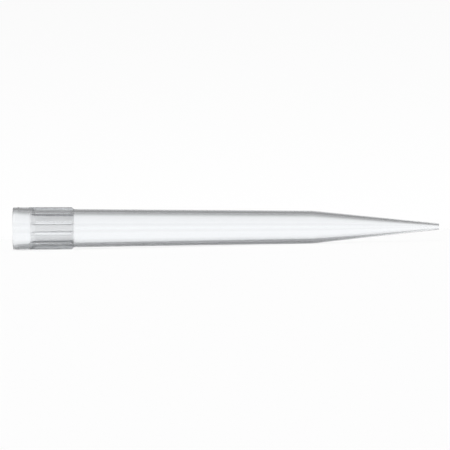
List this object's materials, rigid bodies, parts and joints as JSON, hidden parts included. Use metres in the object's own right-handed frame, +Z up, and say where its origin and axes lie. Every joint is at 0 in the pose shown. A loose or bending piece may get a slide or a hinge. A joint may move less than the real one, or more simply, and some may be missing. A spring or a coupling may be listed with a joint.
{
  "type": "pipette tip",
  "caption": "Long clear disposable tip for an air-displacement pipette: hollow tapered tube with a smooth rim, a ribbed collar and a fine conical point.",
  "frame": {"origin": "on the surface that the tip lies on, under the middle of its bounding box", "axes": "+X runs from the mouth to the point, +Z is up; the tip lies at rest, so its own axis leans 1.11 degrees, point end lower"},
  "size_m": [0.09, 0.009, 0.0091],
  "materials": {
    "clear_polypropylene": "gloss"
  },
  "bodies": {
    "root": {"pipette_tip": "clear_polypropylene"}
  },
  "joints": []
}
